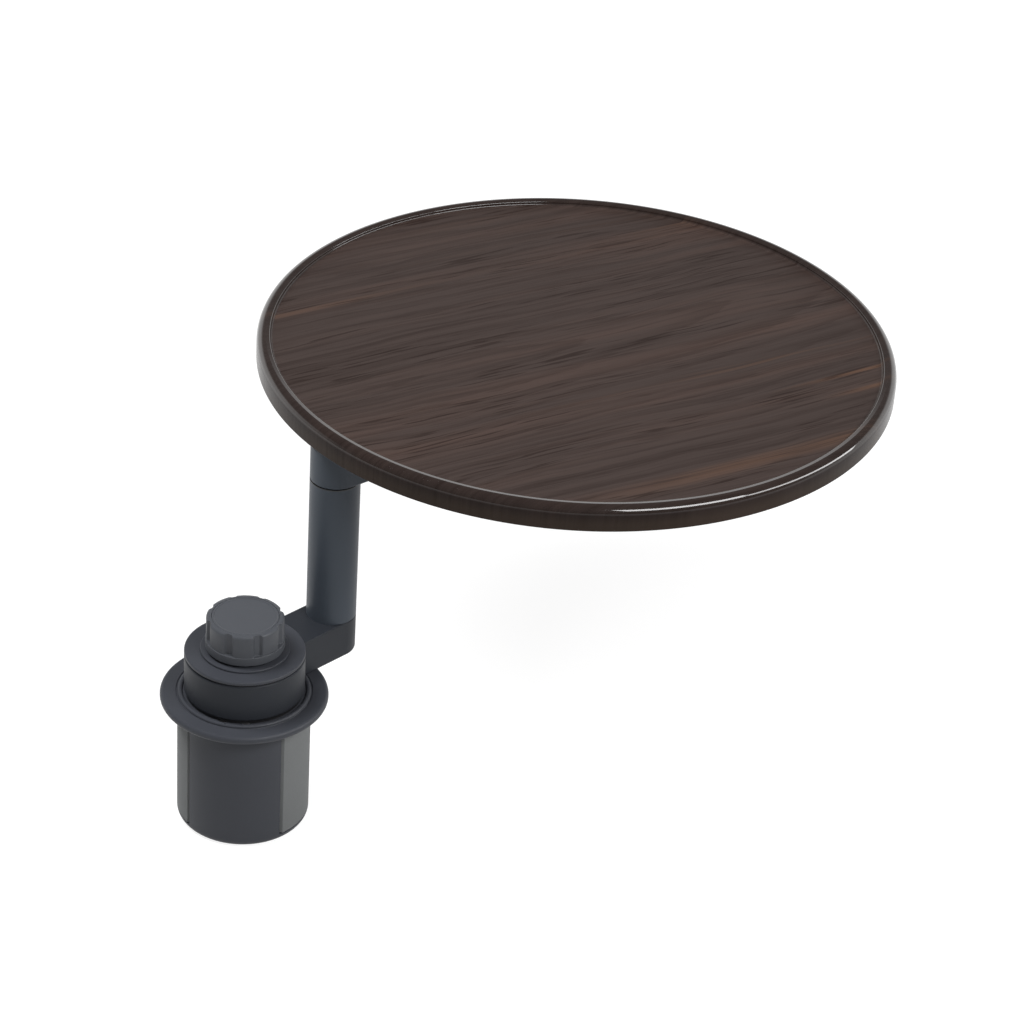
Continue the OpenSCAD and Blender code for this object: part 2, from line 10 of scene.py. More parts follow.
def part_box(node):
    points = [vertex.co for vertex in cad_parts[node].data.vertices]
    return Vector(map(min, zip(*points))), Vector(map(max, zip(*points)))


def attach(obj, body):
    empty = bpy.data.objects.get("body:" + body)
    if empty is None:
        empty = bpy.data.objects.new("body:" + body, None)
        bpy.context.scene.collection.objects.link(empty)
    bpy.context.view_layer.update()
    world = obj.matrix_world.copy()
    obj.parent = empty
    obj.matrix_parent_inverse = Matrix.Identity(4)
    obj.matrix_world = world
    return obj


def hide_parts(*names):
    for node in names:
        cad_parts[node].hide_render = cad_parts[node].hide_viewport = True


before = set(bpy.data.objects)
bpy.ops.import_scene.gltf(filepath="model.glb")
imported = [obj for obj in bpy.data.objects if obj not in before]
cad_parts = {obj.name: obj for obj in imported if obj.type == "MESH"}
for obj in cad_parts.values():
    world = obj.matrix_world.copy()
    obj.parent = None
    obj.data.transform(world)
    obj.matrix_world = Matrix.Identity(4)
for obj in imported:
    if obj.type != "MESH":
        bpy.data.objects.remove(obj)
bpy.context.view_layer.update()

bl_info = {
    "name": "Car tray table",
    "version": (1, 0, 0),
    "blender": (4, 5, 0),
    "location": "View3D > Sidebar > Tray table",
    "description": "Round walnut tray on a post that stands in a cup holder",
    "category": "Object",
}

# Millimetres to metres
MM = 0.001
# Steps in a quarter round, and the width of the flat strip kept beside each one
ARC_STEPS = 8
STRIP = 0.12 * MM
# Steps of a full turn
TRAY_STEPS = 360
DISC_STEPS = 192
KNOB_STEPS = 384
# Steps of a pad's curve and of its rounded edges, and how far it is swept past its sides before they are cut
PAD_STEPS = 64
PAD_EDGE_STEPS = 4
PAD_OVERLAP = math.radians(3)
# Edges sharper than this are shaded as creases, and a pad's are rounded
CREASE = math.radians(40)
# Nodes that look unlike the rest of their slot: the blackened washer under the cap ring, the upper arm in
# the post's paint, and the lower arm in a darker copy of the moulded plastic, which paints the shade under
# the tray and the cap ring
OWN_FINISH = {"spring_washer": "black_steel", "lower_arm": "arm_plastic", "upper_arm": "dark_painted"}
# Ending of the materials' names, apart from the CAD model's own
FINISH = "_finish"
# Points closer than this are one point
WELD = 1e-7
# Short steps that give the run-out of the knob's notches its curve
FOOT_STEPS = 6
# The backdrop fades out upwards between these sines of the height angle, and sideways between these cosines
BACKDROP_FADE = (0.26, 0.44)
BACKDROP_SIDES = (-0.3, 0.5)
# Point between base and tray that all lamps face
LAMP_AIM = (0.1, 0.0, 0.15)
# Each lamp's place, the direction of its first side, and the lengths of its two sides
LAMPS = {
    "strip_lamp": ((0.10, -1.456, 1.45), (0.97, -0.24, 0.0), (1.27, 0.55)),
    "side_lamp": ((-0.47, 0.65, 1.85), (0.77, 0.64, 0.0), (0.80, 0.80)),
    "edge_lamp": ((1.326, -1.358, 0.986), (0.57, 0.38, -0.30), (1.50, 0.38)),
}
# Satin finishes: colour, roughness, stipple scale, drift of tone, bump, dust and specular level
SATINS = {
    "dark_moulded": ("moulded", 0.50, 1700.0, 0.16, 0.22, 0.008, 0.28),
    # The lower arm's copy of the moulded plastic is darker: painted shade from the tray above it and the cap
    # ring
    "arm_plastic": ("arm", 0.50, 1700.0, 0.16, 0.22, 0.010, 0.22),
    "dark_painted": ("painted", 0.44, 2600.0, 0.08, 0.14, 0.000, 0.25),
    "knob_plastic": ("knob", 0.46, 1700.0, 0.12, 0.20, 0.020, 0.35),
    "pad_rubber": ("rubber", 0.72, 1200.0, 0.10, 0.35, 0.000, 0.30),
    "inner_nylon": ("nylon_dark", 0.42, 2000.0, 0.10, 0.10, 0.000, 0.50),
    "slide_nylon": ("nylon_pale", 0.40, 2000.0, 0.06, 0.10, 0.000, 0.50),
}
# Metal finishes: colour and roughness
METALS = {"zinc_steel": ("zinc", 0.26), "bush_brass": ("brass", 0.24), "black_steel": ("black_steel", 0.45)}
# How much darker the dull patches of a metal are
DULL_SHARE = 0.72
# Roughness of the rim's lacquer
RIM_ROUGHNESS = 0.20
# Width of the camera's sensor in millimetres, and the nearest and farthest it sees in metres
SENSOR_WIDTH = 36
NEAREST, FARTHEST = 0.05, 50
# Dust is this pale on any finish
DUST = (0.30, 0.30, 0.31, 1)
# Light streaks of the board: place across the grain, half width, first and full place along it, strength
SAP_STREAKS = (
    (-0.137, 0.0085, -0.110, 0.030, 0.34),
    (-0.0845, 0.0022, 0.060, 0.120, 0.48),
    (-0.1005, 0.0026, 0.080, 0.120, 0.48),
    (0.0890, 0.0040, 0.000, -0.130, 0.24),
)


def node_box(name):
    """Lowest and highest corner of a CAD node."""
    low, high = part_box(name)
    return Vector(low), Vector(high)


TRAY_LOW, TRAY_HIGH = node_box("tabletop")
KNOB_LOW, KNOB_HIGH = node_box("knob")
DISC_LOW, DISC_HIGH = node_box("knob_cap")
JAW_LOW, JAW_HIGH = node_box("right_pad")
TRAY_AXIS = (TRAY_LOW + TRAY_HIGH) / 2
TRAY_RADIUS = (TRAY_HIGH.x - TRAY_LOW.x) / 2


def length(name, description, millimetres, smallest=0.1, largest=60.0):
    """A size in the panel, given in millimetres."""
    return FloatProperty(name=name, description=description, default=millimetres * MM,
                         min=smallest * MM, max=largest * MM, subtype="DISTANCE", unit="LENGTH", precision=5)


def colour(name, description, value):
    """A colour in the panel."""
    return FloatVectorProperty(name=name, description=description, default=value, size=3,
                               min=0.0, max=1.0, subtype="COLOR")


def angle(name, description, degrees):
    """An angle in the panel, given in degrees."""
    return FloatProperty(name=name, description=description, default=math.radians(degrees), subtype="ANGLE")


def share(name, description, value):
    """A value between none and full in the panel."""
    return FloatProperty(name=name, description=description, default=value, min=0.0, max=1.0)


def power(name, description, watts):
    """A lamp's power in the panel."""
    return FloatProperty(name=name, description=description, default=watts, min=0.0, unit="POWER")


class TraySizes(PropertyGroup):
    """Section of the tray's raised rim, and the lie of its grain"""
    rim_width: length("Rim width", "Width of the raised rim", 7.1)
    rim_flat: length("Rim flat", "How far the rim's top runs in level before it falls away", 4.55)
    rim_fall: length("Rim fall", "How far the rim's top falls towards the field", 0.5, largest=1.0)
    field_drop: length("Field drop", "Depth of the sunk field below the rim", 2.8, largest=6.0)
    rim_round: length("Rim rounding", "Rounding of the rim's outer top edge", 4.4, largest=6.0)
    crest_round: length("Crest rounding", "Rounding of the rim's inner top edge", 0.7, largest=1.4)
    cove: length("Cove", "Radius of the cove between rim and field", 1.7, largest=1.8)
    under_round: length("Bottom rounding", "Rounding of the tray's bottom edge", 0.6, largest=2.0)
    grain_angle: angle("Grain angle", "Direction of the wood grain in plan", -15.0)


class KnobSizes(PropertyGroup):
    """Sizes of the tightening knob"""
    radius: length("Radius", "Radius of the skirt", 19.8)
    crown: length("Crown", "How far the knob rises above the solid one", 1.5, smallest=0.0, largest=3.0)
    disc_radius: length("Disc radius", "Radius of the cap disc", 16.8)
    fall: length("Fall", "How far the top falls from the disc to the edge", 0.5, smallest=0.0, largest=1.0)
    skirt_height: length("Skirt height", "Height of the plain skirt", 4.7, largest=8.0)
    skirt_step: length("Skirt step", "How far the skirt stands out from the grip", 0.4, largest=1.0)
    shoulder: length("Shoulder", "Rounding of the knob's top edge", 1.0, largest=2.4)
    wall: length("Wall", "Wall of the hollow grip", 1.6, largest=3.0)
    boss: length("Boss", "Radius of the drive boss inside", 9.5, largest=12.0)
    bore: length("Bore", "Radius of the bore for drive and screw", 5.0, largest=6.0)
    web: length("Web", "Thickness of the web under the cap disc", 2.0, largest=4.0)
    disc_depth: length("Disc seat", "Depth of the cap disc's seat", 1.5, largest=2.0)
    disc_gap: length("Disc gap", "Gap round the cap disc", 0.12, smallest=0.05, largest=0.3)
    disc_border: length("Disc border", "Width of the raised border of the cap disc", 1.0, largest=3.0)
    disc_dish: length("Disc dish", "Depth of the cap disc inside its border", 0.25, largest=0.5)
    lip: length("Lip", "Rounding of the small edges", 0.25, largest=0.3)
    notch_width: length("Notch width", "Width of a grip notch at its mouth", 5.8, largest=9.0)
    notch_side: length("Notch side", "Width of each sloping side of a notch", 1.9, largest=3.0)
    notch_depth: length("Notch depth", "Depth of a grip notch", 1.5, largest=2.0)
    notch_foot: length("Notch foot", "Height of the run-out at a notch's foot", 0.6, largest=2.0)
    notches: IntProperty(name="Notches", description="Number of grip notches", default=8, min=4, max=12)
    notch_phase: angle("First notch", "Angle of the first notch", 23.0)


class PadSizes(PropertyGroup):
    """Sizes of the rubber pads on the jaws"""
    thickness: length("Thickness", "Thickness of a pad", 2.5, largest=6.0)
    outer_radius: length("Outer radius", "Radius of the closed base", 33.5)
    width: length("Width", "Width of a pad across its sides", 45.8)
    edge: length("Edge", "Rounding of a pad's edges", 0.5, largest=1.0)
    base_turn: angle("Base angle", "Angle of the base's front wall", -51.0)


class Colours(PropertyGroup):
    """Colours of the finishes"""
    wood_dark: colour("Dark grain", "Darkest lines of the walnut", (0.0150, 0.0080, 0.0062))
    wood_mid: colour("Ground", "Main colour of the walnut", (0.0545, 0.0400, 0.0360))
    wood_red: colour("Red streaks", "Reddish streaks of the walnut", (0.0730, 0.0480, 0.0405))
    wood_tan: colour("Tan streaks", "Light streaks of the sapwood side", (0.1500, 0.0780, 0.0450))
    # wood_edge is the colour at the foot of the upright edge; higher up it is blended into wood_dark as a
    # painted dark reflection
    wood_edge: colour("Edge", "Upright edge of the rim", (0.0370, 0.0245, 0.0165))
    moulded: colour("Moulded plastic", "Base, flange and cap ring", (0.0490, 0.0525, 0.0630))
    # Darker than the moulded plastic: painted shade on the lower arm and its hub, which lie under the tray
    # and the cap ring
    arm: colour("Arm plastic", "Lower arm with its hub", (0.0245, 0.0275, 0.0340))
    painted: colour("Painted tube", "Powder coat of the post and upper arm", (0.0660, 0.0790, 0.0980))
    knob: colour("Knob plastic", "Knob and its cap disc", (0.0720, 0.0770, 0.0880))
    rubber: colour("Pad rubber", "Pads on the jaws", (0.2100, 0.2180, 0.2200))
    nylon_dark: colour("Dark nylon", "Bushes and friction washers", (0.0120, 0.0120, 0.0130))
    nylon_pale: colour("Pale nylon", "Spreader block", (0.5600, 0.5450, 0.4950))
    zinc: colour("Zinc", "Plated steel of screws and pins", (0.5600, 0.5650, 0.5800))
    brass: colour("Brass", "Turned bushes and nut", (0.6900, 0.5100, 0.2300))
    black_steel: colour("Blackened steel", "Spring washer under the cap ring", (0.0300, 0.0300, 0.0320))


class StageSettings(PropertyGroup):
    """Camera, lamps and floor"""
    camera_turn: angle("Camera direction", "Camera's turn about the vertical", -46.93)
    camera_tilt: angle("Camera tilt", "Camera's tilt below the horizon", 31.96)
    camera_roll: angle("Camera roll", "Camera's roll about its own axis", 3.8)
    camera_distance: FloatProperty(name="Camera distance", description="Distance from camera to its target",
                                   default=1.5114, subtype="DISTANCE", unit="LENGTH")
    lens: FloatProperty(name="Lens", description="Focal length in millimetres", default=112.5)
    target: FloatVectorProperty(name="Target", description="Point that the camera looks at", size=3,
                                default=(0.0684, -0.11105, 0.205), subtype="XYZ", unit="LENGTH")
    floor_size: FloatProperty(name="Floor size", description="Side of the square floor", default=40.0,
                              subtype="DISTANCE", unit="LENGTH")
    floor_tone: share("Floor tone", "How pale the floor's own paint is", 0.32)
    floor_lift: share("Floor lift", "White added to the floor as the camera and reflections see it", 0.84)
    surround: share("Surround", "Strength of the studio's surround", 0.16)
    backdrop: share("Backdrop", "Strength of the pale backdrop low behind the object", 1.0)
    strip_power: power("Strip lamp", "Power of the long lamp at the front", 24.0)
    side_power: power("Side lamp", "Power of the lamp high on the left", 30.0)
    edge_power: power("Edge lamp", "Power of the lamp on the right, which only reflections see", 15.0)


class TrayTableSettings(PropertyGroup):
    """All settings of the tray table"""
    tray: PointerProperty(type=TraySizes)
    knob: PointerProperty(type=KnobSizes)
    pads: PointerProperty(type=PadSizes)
    colours: PointerProperty(type=Colours)
    stage: PointerProperty(type=StageSettings)


def settings():
    """The scene's settings of the tray table."""
    return bpy.context.scene.tray_table


def finish_named(slot):
    """The material made for one of the record's slots."""
    return bpy.data.materials[slot + FINISH]


# Mesh helpers

def finish_mesh(bm, name, body, node, finish):
    """Turns a bmesh into a smooth piece that rides its body and stands for its CAD node."""
    bmesh.ops.remove_doubles(bm, verts=bm.verts[:], dist=WELD)
    bmesh.ops.recalc_face_normals(bm, faces=bm.faces[:])
    for face in bm.faces:
        face.smooth = True
    mesh = bpy.data.meshes.new(name)
    bm.to_mesh(mesh)
    bm.free()
    mesh.set_sharp_from_angle(angle=CREASE)
    piece = bpy.data.objects.new(name, mesh)
    bpy.context.scene.collection.objects.link(piece)
    mesh.materials.append(finish_named(finish))
    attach(piece, body)
    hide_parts(node)
    return piece


def turned(section, steps, arc_steps=ARC_STEPS):
    """A turned solid about Z from corners given as (radius, height, rounding)."""
    bm = bmesh.new()
    corners = [bm.verts.new((radius, 0, height)) for radius, height, _ in section]
    bm.faces.new(corners)
    for corner, (_, _, rounding) in zip(corners, section):
        if rounding > 0:
            bmesh.ops.bevel(bm, geom=[corner], offset=rounding, offset_type="OFFSET", affect="VERTICES",
                            segments=arc_steps, profile=0.5, material=-1, clamp_overlap=False)
    bmesh.ops.delete(bm, geom=bm.faces[:], context="FACES_ONLY")
    for edge in bm.edges[:]:
        if max(vert.co.x for vert in edge.verts) < WELD:
            bm.edges.remove(edge)
        elif edge.calc_length() > 4 * STRIP:
            add_strips(edge)
    bmesh.ops.spin(bm, geom=bm.verts[:] + bm.edges[:], cent=(0, 0, 0), axis=(0, 0, 1), dvec=(0, 0, 0),
                   angle=2 * math.pi, steps=steps, use_merge=True, use_normal_flip=False,
                   use_duplicate=False)
    return bm


def add_strips(edge):
    """Cuts a short strip off both ends of an edge, so that flats stay flat beside their roundings."""
    share = STRIP / edge.calc_length()
    first, last = edge.verts
    bmesh.utils.edge_split(edge, first, share)
    rest = next(part for part in last.link_edges if part.calc_length() > STRIP + WELD)
    bmesh.utils.edge_split(rest, last, STRIP / rest.calc_length())


def move_to(bm, place):
    """Moves a whole bmesh."""
    bmesh.ops.translate(bm, verts=bm.verts[:], vec=place)


# Node helpers

def put(tree, kind, inputs=None, **options):
    """Adds a shader node, sets its options and joins or sets its inputs."""
    made = tree.nodes.new("ShaderNode" + kind)
    for key, value in options.items():
        setattr(made, key, value)
    for key, value in (inputs or {}).items():
        if isinstance(value, bpy.types.NodeSocket):
            tree.links.new(value, made.inputs[key])
        else:
            made.inputs[key].default_value = value
    return made


def sum_up(tree, operation, first, second, third=None):
    """Result of a Math node."""
    inputs = {0: first, 1: second}
    if third is not None:
        inputs[2] = third
    return put(tree, "Math", inputs, operation=operation).outputs[0]


def blend(tree, factor, first, second, mode="MIX"):
    """Result of a colour Mix node."""
    return put(tree, "Mix", {0: factor, 6: first, 7: second}, data_type="RGBA", blend_type=mode).outputs[2]


def spread(tree, value, low, high, new_low=0.0, new_high=1.0, kind="SMOOTHSTEP"):
    """Result of a Map Range node."""
    inputs = {"Value": value, "From Min": low, "From Max": high, "To Min": new_low, "To Max": new_high}
    return put(tree, "MapRange", inputs, interpolation_type=kind).outputs[0]


def noise(tree, vector, scale, detail, roughness=0.5, distortion=0.0):
    """Value of a Noise texture."""
    inputs = {"Vector": vector, "Scale": scale, "Detail": detail, "Roughness": roughness,
              "Distortion": distortion}
    return put(tree, "TexNoise", inputs).outputs[0]


def stretch(tree, vector, scale, offset=(0, 0, 0)):
    """A vector scaled along each axis."""
    return put(tree, "Mapping", {"Vector": vector, "Location": offset, "Scale": scale}).outputs[0]


def new_group(name, inputs, outputs):
    """An empty shader group with float, colour or vector sockets; returns it with its two ends."""
    group = bpy.data.node_groups.new(name, "ShaderNodeTree")
    for in_out, sockets in (("INPUT", inputs), ("OUTPUT", outputs)):
        for socket, (kind, value) in sockets.items():
            made = group.interface.new_socket(name=socket, in_out=in_out, socket_type="NodeSocket" + kind)
            if value is not None:
                made.default_value = value
    return group, group.nodes.new("NodeGroupInput").outputs, group.nodes.new("NodeGroupOutput").inputs


def use_group(tree, name, inputs):
    """Places a group in a material."""
    made = tree.nodes.new("ShaderNodeGroup")
    made.node_tree = bpy.data.node_groups[name]
    for key, value in inputs.items():
        if isinstance(value, bpy.types.NodeSocket):
            tree.links.new(value, made.inputs[key])
        else:
            made.inputs[key].default_value = value
    return made.outputs


def make_wood_figure():
    """Group: growth rings, fibres, pores and streaks of sawn walnut, with the grain along X."""
    group, given, result = new_group(
        "wood_figure",
        {"Vector": ("Vector", None), "Ring Width": ("Float", 0.009), "Ring Wave": ("Float", 1.6)},
        {"Ground": ("Float", None), "Rings": ("Float", None), "Fibre": ("Float", None),
         "Pores": ("Float", None), "Streaks": ("Float", None), "Height": ("Float", None)})
    vector = given["Vector"]
    # Slow drift that bends all lines a little
    drift = noise(group, stretch(group, vector, (3.2, 9.0, 1.0)), 1.0, 3.0)
    bend = sum_up(group, "MULTIPLY", sum_up(group, "SUBTRACT", drift, 0.5), 0.030)
    apart = put(group, "SeparateXYZ", {0: vector}).outputs
    across = sum_up(group, "ADD", apart[1], bend)
    bent = put(group, "CombineXYZ", {0: apart[0], 1: across, 2: apart[2]}).outputs[0]
    # Rings as a slanting cone cut by the board, which gives nested arches near its middle
    depth = sum_up(group, "MULTIPLY_ADD", apart[0], 0.115, 0.013)
    distance = sum_up(group, "SQRT", sum_up(group, "ADD", sum_up(group, "MULTIPLY", across, across),
                                            sum_up(group, "MULTIPLY", depth, depth)), 0.0)
    turns = sum_up(group, "DIVIDE", distance, given["Ring Width"])
    jitter = noise(group, stretch(group, vector, (8.0, 60.0, 1.0)), 1.0, 4.0, 0.6)
    phase = sum_up(group, "MULTIPLY_ADD", jitter, given["Ring Wave"], turns)
    saw = sum_up(group, "FRACT", phase, 0.0)
    rise = spread(group, saw, 0.45, 0.95)
    fall = spread(group, saw, 0.95, 1.0, 1.0, 0.0, "LINEAR")
    group.links.new(sum_up(group, "MULTIPLY", rise, fall), result["Rings"])
    group.links.new(noise(group, stretch(group, bent, (2.2, 42.0, 1.0), (3.1, 0.7, 0)), 1.0, 5.0, 0.6),
                    result["Ground"])
    fibre = noise(group, stretch(group, bent, (9.0, 420.0, 1.0)), 1.0, 4.0, 0.75)
    group.links.new(fibre, result["Fibre"])
    pore_field = noise(group, stretch(group, bent, (26.0, 560.0, 1.0), (1.7, 5.3, 0)), 1.0, 2.0, 0.5)
    where = noise(group, stretch(group, bent, (4.0, 60.0, 1.0), (9.1, 2.2, 0)), 1.0, 2.0)
    pores = sum_up(group, "MULTIPLY", spread(group, pore_field, 0.55, 0.66),
                   spread(group, where, 0.40, 0.62))
    group.links.new(pores, result["Pores"])
    lines = noise(group, stretch(group, bent, (1.5, 62.0, 1.0), (4.4, 8.8, 0)), 1.0, 4.0, 0.65)
    group.links.new(spread(group, lines, 0.57, 0.70), result["Streaks"])
    height = sum_up(group, "MULTIPLY_ADD", pores, -1.0, sum_up(group, "MULTIPLY", fibre, 0.35))
    group.links.new(height, result["Height"])


def make_moulded_skin():
    """Group: the fine stipple, slow tone drift and faint handling marks of a moulded or coated surface."""
    group, given, result = new_group(
        "moulded_skin",
        {"Vector": ("Vector", None), "Stipple Scale": ("Float", 1500.0), "Drift": ("Float", 0.10)},
        {"Tone": ("Float", None), "Marks": ("Float", None), "Height": ("Float", None)})
    vector = given["Vector"]
    stipple = put(group, "TexNoise", {"Vector": vector, "Scale": given["Stipple Scale"], "Detail": 2.0,
                                      "Roughness": 0.6}).outputs[0]
    slow = noise(group, vector, 26.0, 3.0, 0.55)
    tone = sum_up(group, "MULTIPLY_ADD", sum_up(group, "SUBTRACT", slow, 0.5), given["Drift"], 1.0)
    fine = sum_up(group, "MULTIPLY_ADD", sum_up(group, "SUBTRACT", stipple, 0.5), 0.16, tone)
    group.links.new(fine, result["Tone"])
    smears = noise(group, stretch(group, vector, (30.0, 30.0, 75.0), (2.0, 1.0, 4.0)), 1.0, 4.0, 0.65, 0.4)
    group.links.new(spread(group, smears, 0.52, 0.78), result["Marks"])
    group.links.new(stipple, result["Height"])


def make_settled_dust():
    """Group: a thin film of dust that lies on faces turned upwards."""
    group, given, result = new_group(
        "settled_dust",
        {"Vector": ("Vector", None), "Amount": ("Float", 0.1)},
        {"Film": ("Float", None)})
    facing = put(group, "SeparateXYZ", {0: put(group, "NewGeometry").outputs["Normal"]}).outputs[2]
    lying = spread(group, facing, 0.55, 1.0)
    specks = spread(group, noise(group, given["Vector"], 420.0, 4.0, 0.7), 0.42, 0.75, 0.25, 1.0)
    film = sum_up(group, "MULTIPLY", sum_up(group, "MULTIPLY", lying, specks), given["Amount"])
    group.links.new(film, result["Film"])


def make_turning_marks():
    """Group: fine lathe or rolling lines and dull patches of bare and plated metal."""
    group, given, result = new_group(
        "turning_marks",
        {"Vector": ("Vector", None), "Line Scale": ("Float", 3800.0)},
        {"Lines": ("Float", None), "Dull": ("Float", None)})
    flat = stretch(group, given["Vector"], (0.02, 0.02, 1.0))
    lines = put(group, "TexNoise", {"Vector": flat, "Scale": given["Line Scale"], "Detail": 2.0}).outputs[0]
    group.links.new(lines, result["Lines"])
    patches = noise(group, given["Vector"], 260.0, 3.0, 0.6)
    group.links.new(spread(group, patches, 0.35, 0.72), result["Dull"])


def start_material(name, **constants):
    """A material with a Principled shader whose even values are set on its own sockets."""
    material = bpy.data.materials.new(name + FINISH)
    material.use_nodes = True
    tree = material.node_tree
    shader = tree.nodes["Principled BSDF"]
    for key, value in constants.items():
        shader.inputs[key.replace("_", " ")].default_value = value
    return tree, shader


def add_bump(tree, shader, height, strength, distance):
    """Feeds a height into the shader's normal."""
    bump = put(tree, "Bump", {"Height": height, "Strength": strength, "Distance": distance})
    tree.links.new(bump.outputs[0], shader.inputs["Normal"])


def object_vector(tree):
    """Object coordinates, which are the row's own metres."""
    return put(tree, "TexCoord").outputs["Object"]


def sap_streak(tree, local, figure, across, half_width, first, last, strength):
    """Mask of one light streak along the grain, from one line of SAP_STREAKS."""
    aside = sum_up(tree, "ABSOLUTE", sum_up(tree, "SUBTRACT", local[1], across), 0.0)
    narrow = sum_up(tree, "MULTIPLY_ADD", figure["Ground"], -half_width, aside)
    band = spread(tree, narrow, 0.5 * half_width, -0.5 * half_width)
    along = spread(tree, local[0], first, last)
    mottled = sum_up(tree, "MULTIPLY", spread(tree, figure["Fibre"], 0.35, 0.60, 0.45, 1.0), strength)
    return sum_up(tree, "MULTIPLY", sum_up(tree, "MULTIPLY", band, along), mottled)


def make_walnut(colours, tray):
    """Lacquered dark walnut: satin in the field, glossy and darker on the rim, with a painted dark
    reflection on the rim's upright edge.
    """
    tree, shader = start_material("walnut", IOR=1.5, Specular_IOR_Level=0.05, Coat_Roughness=0.06,
                                  Coat_IOR=1.6)
    turn = put(tree, "Mapping", {"Vector": object_vector(tree), "Location": (TRAY_AXIS.x, TRAY_AXIS.y, 0),
                                 "Rotation": (0, 0, tray.grain_angle)}, vector_type="TEXTURE")
    figure = use_group(tree, "wood_figure", {"Vector": turn.outputs[0], "Ring Width": 0.0105,
                                             "Ring Wave": 1.5})
    dark, mid, red, tan, edge = ((*value, 1) for value in (
        colours.wood_dark, colours.wood_mid, colours.wood_red, colours.wood_tan, colours.wood_edge))
    ground = blend(tree, spread(tree, figure["Ground"], 0.44, 0.76), mid, red)
    ground = blend(tree, spread(tree, figure["Ground"], 0.48, 0.28, 0.0, 0.28), ground, dark)
    ringed = blend(tree, sum_up(tree, "MULTIPLY", figure["Rings"], 0.22), ground, dark)
    # The lighter streaks gather on one side of the board
    local = put(tree, "SeparateXYZ", {0: turn.outputs[0]}).outputs
    side = spread(tree, sum_up(tree, "MULTIPLY_ADD", local[1], -0.55, local[0]), -0.02, 0.13)
    streaked = blend(tree, sum_up(tree, "MULTIPLY", figure["Streaks"],
                                  sum_up(tree, "MULTIPLY_ADD", side, 0.34, 0.05)), ringed, tan)
    for across, half_width, first, last, strength in SAP_STREAKS:
        streaked = blend(tree, sap_streak(tree, local, figure, across, half_width, first, last, strength),
                         streaked, tan)
    fibred = blend(tree, spread(tree, figure["Fibre"], 0.58, 0.30, 0.0, 0.38), streaked, dark)
    pored = blend(tree, sum_up(tree, "MULTIPLY", figure["Pores"], 0.60), fibred, dark)
    # Rim: closer stain and a higher gloss, and up the upright edge a painted dark reflection
    radius = put(tree, "VectorMath", {0: put(tree, "CombineXYZ", {0: local[0], 1: local[1]}).outputs[0]},
                 operation="LENGTH").outputs["Value"]
    field_edge = TRAY_RADIUS - tray.rim_width
    rim = spread(tree, radius, field_edge - 1.2 * MM, field_edge + 0.6 * MM)
    above = spread(tree, local[2], TRAY_HIGH.z - tray.rim_round, TRAY_HIGH.z - 0.5 * tray.rim_round)
    # Painted reflection: the upright edge darkens from its own colour to the darkest grain colour towards
    # the bullnose, standing in for the dark band reflected just below the highlight
    edge_painted_dark = blend(tree, spread(tree, local[2], TRAY_LOW.z + 3 * MM, TRAY_HIGH.z - 0.8 * tray.rim_round),
                    edge, dark)
    streaky = blend(tree, sum_up(tree, "MULTIPLY", figure["Fibre"], 0.5), edge_painted_dark, pored)
    tree.links.new(blend(tree, rim, pored, streaky), shader.inputs["Base Color"])
    satin = sum_up(tree, "MULTIPLY_ADD", figure["Fibre"], 0.12, 0.42)
    rough = put(tree, "Mix", {0: rim, 2: satin, 3: RIM_ROUGHNESS}, data_type="FLOAT").outputs[0]
    tree.links.new(rough, shader.inputs["Roughness"])
    # The lacquer lies thick on the bullnose and thin on the upright edge below it
    thick = spread(tree, sum_up(tree, "MULTIPLY", rim, above), 0.0, 1.0, 0.05, 1.0, "LINEAR")
    tree.links.new(thick, shader.inputs["Coat Weight"])
    add_bump(tree, shader, figure["Height"], 0.10, 0.15 * MM)


def make_satin(name, value, roughness, stipple, drift, bump, dust, specular):
    """Satin plastic, paint or rubber with a fine stipple."""
    tree, shader = start_material(name, Specular_IOR_Level=specular)
    vector = object_vector(tree)
    skin = use_group(tree, "moulded_skin", {"Vector": vector, "Stipple Scale": stipple, "Drift": drift})
    tone = put(tree, "CombineColor", {0: skin["Tone"], 1: skin["Tone"], 2: skin["Tone"]}).outputs[0]
    body = blend(tree, 1.0, (*value, 1), tone, "MULTIPLY")
    film = use_group(tree, "settled_dust", {"Vector": vector, "Amount": dust})["Film"]
    tree.links.new(blend(tree, film, body, DUST), shader.inputs["Base Color"])
    worn = sum_up(tree, "MULTIPLY_ADD", skin["Marks"], -0.07, roughness)
    tree.links.new(sum_up(tree, "MULTIPLY_ADD", film, 0.8, worn), shader.inputs["Roughness"])
    add_bump(tree, shader, skin["Height"], bump, 0.06 * MM)


def make_metal(name, value, roughness):
    """Bare or plated metal with fine lines."""
    tree, shader = start_material(name, Metallic=1.0)
    marks = use_group(tree, "turning_marks", {"Vector": object_vector(tree)})
    deep = tuple(DULL_SHARE * part for part in value)
    tree.links.new(blend(tree, sum_up(tree, "MULTIPLY", marks["Dull"], 0.6), (*value, 1), (*deep, 1)),
                   shader.inputs["Base Color"])
    tree.links.new(sum_up(tree, "MULTIPLY_ADD", marks["Lines"], 0.14, roughness), shader.inputs["Roughness"])
    add_bump(tree, shader, marks["Lines"], 0.25, 0.02 * MM)


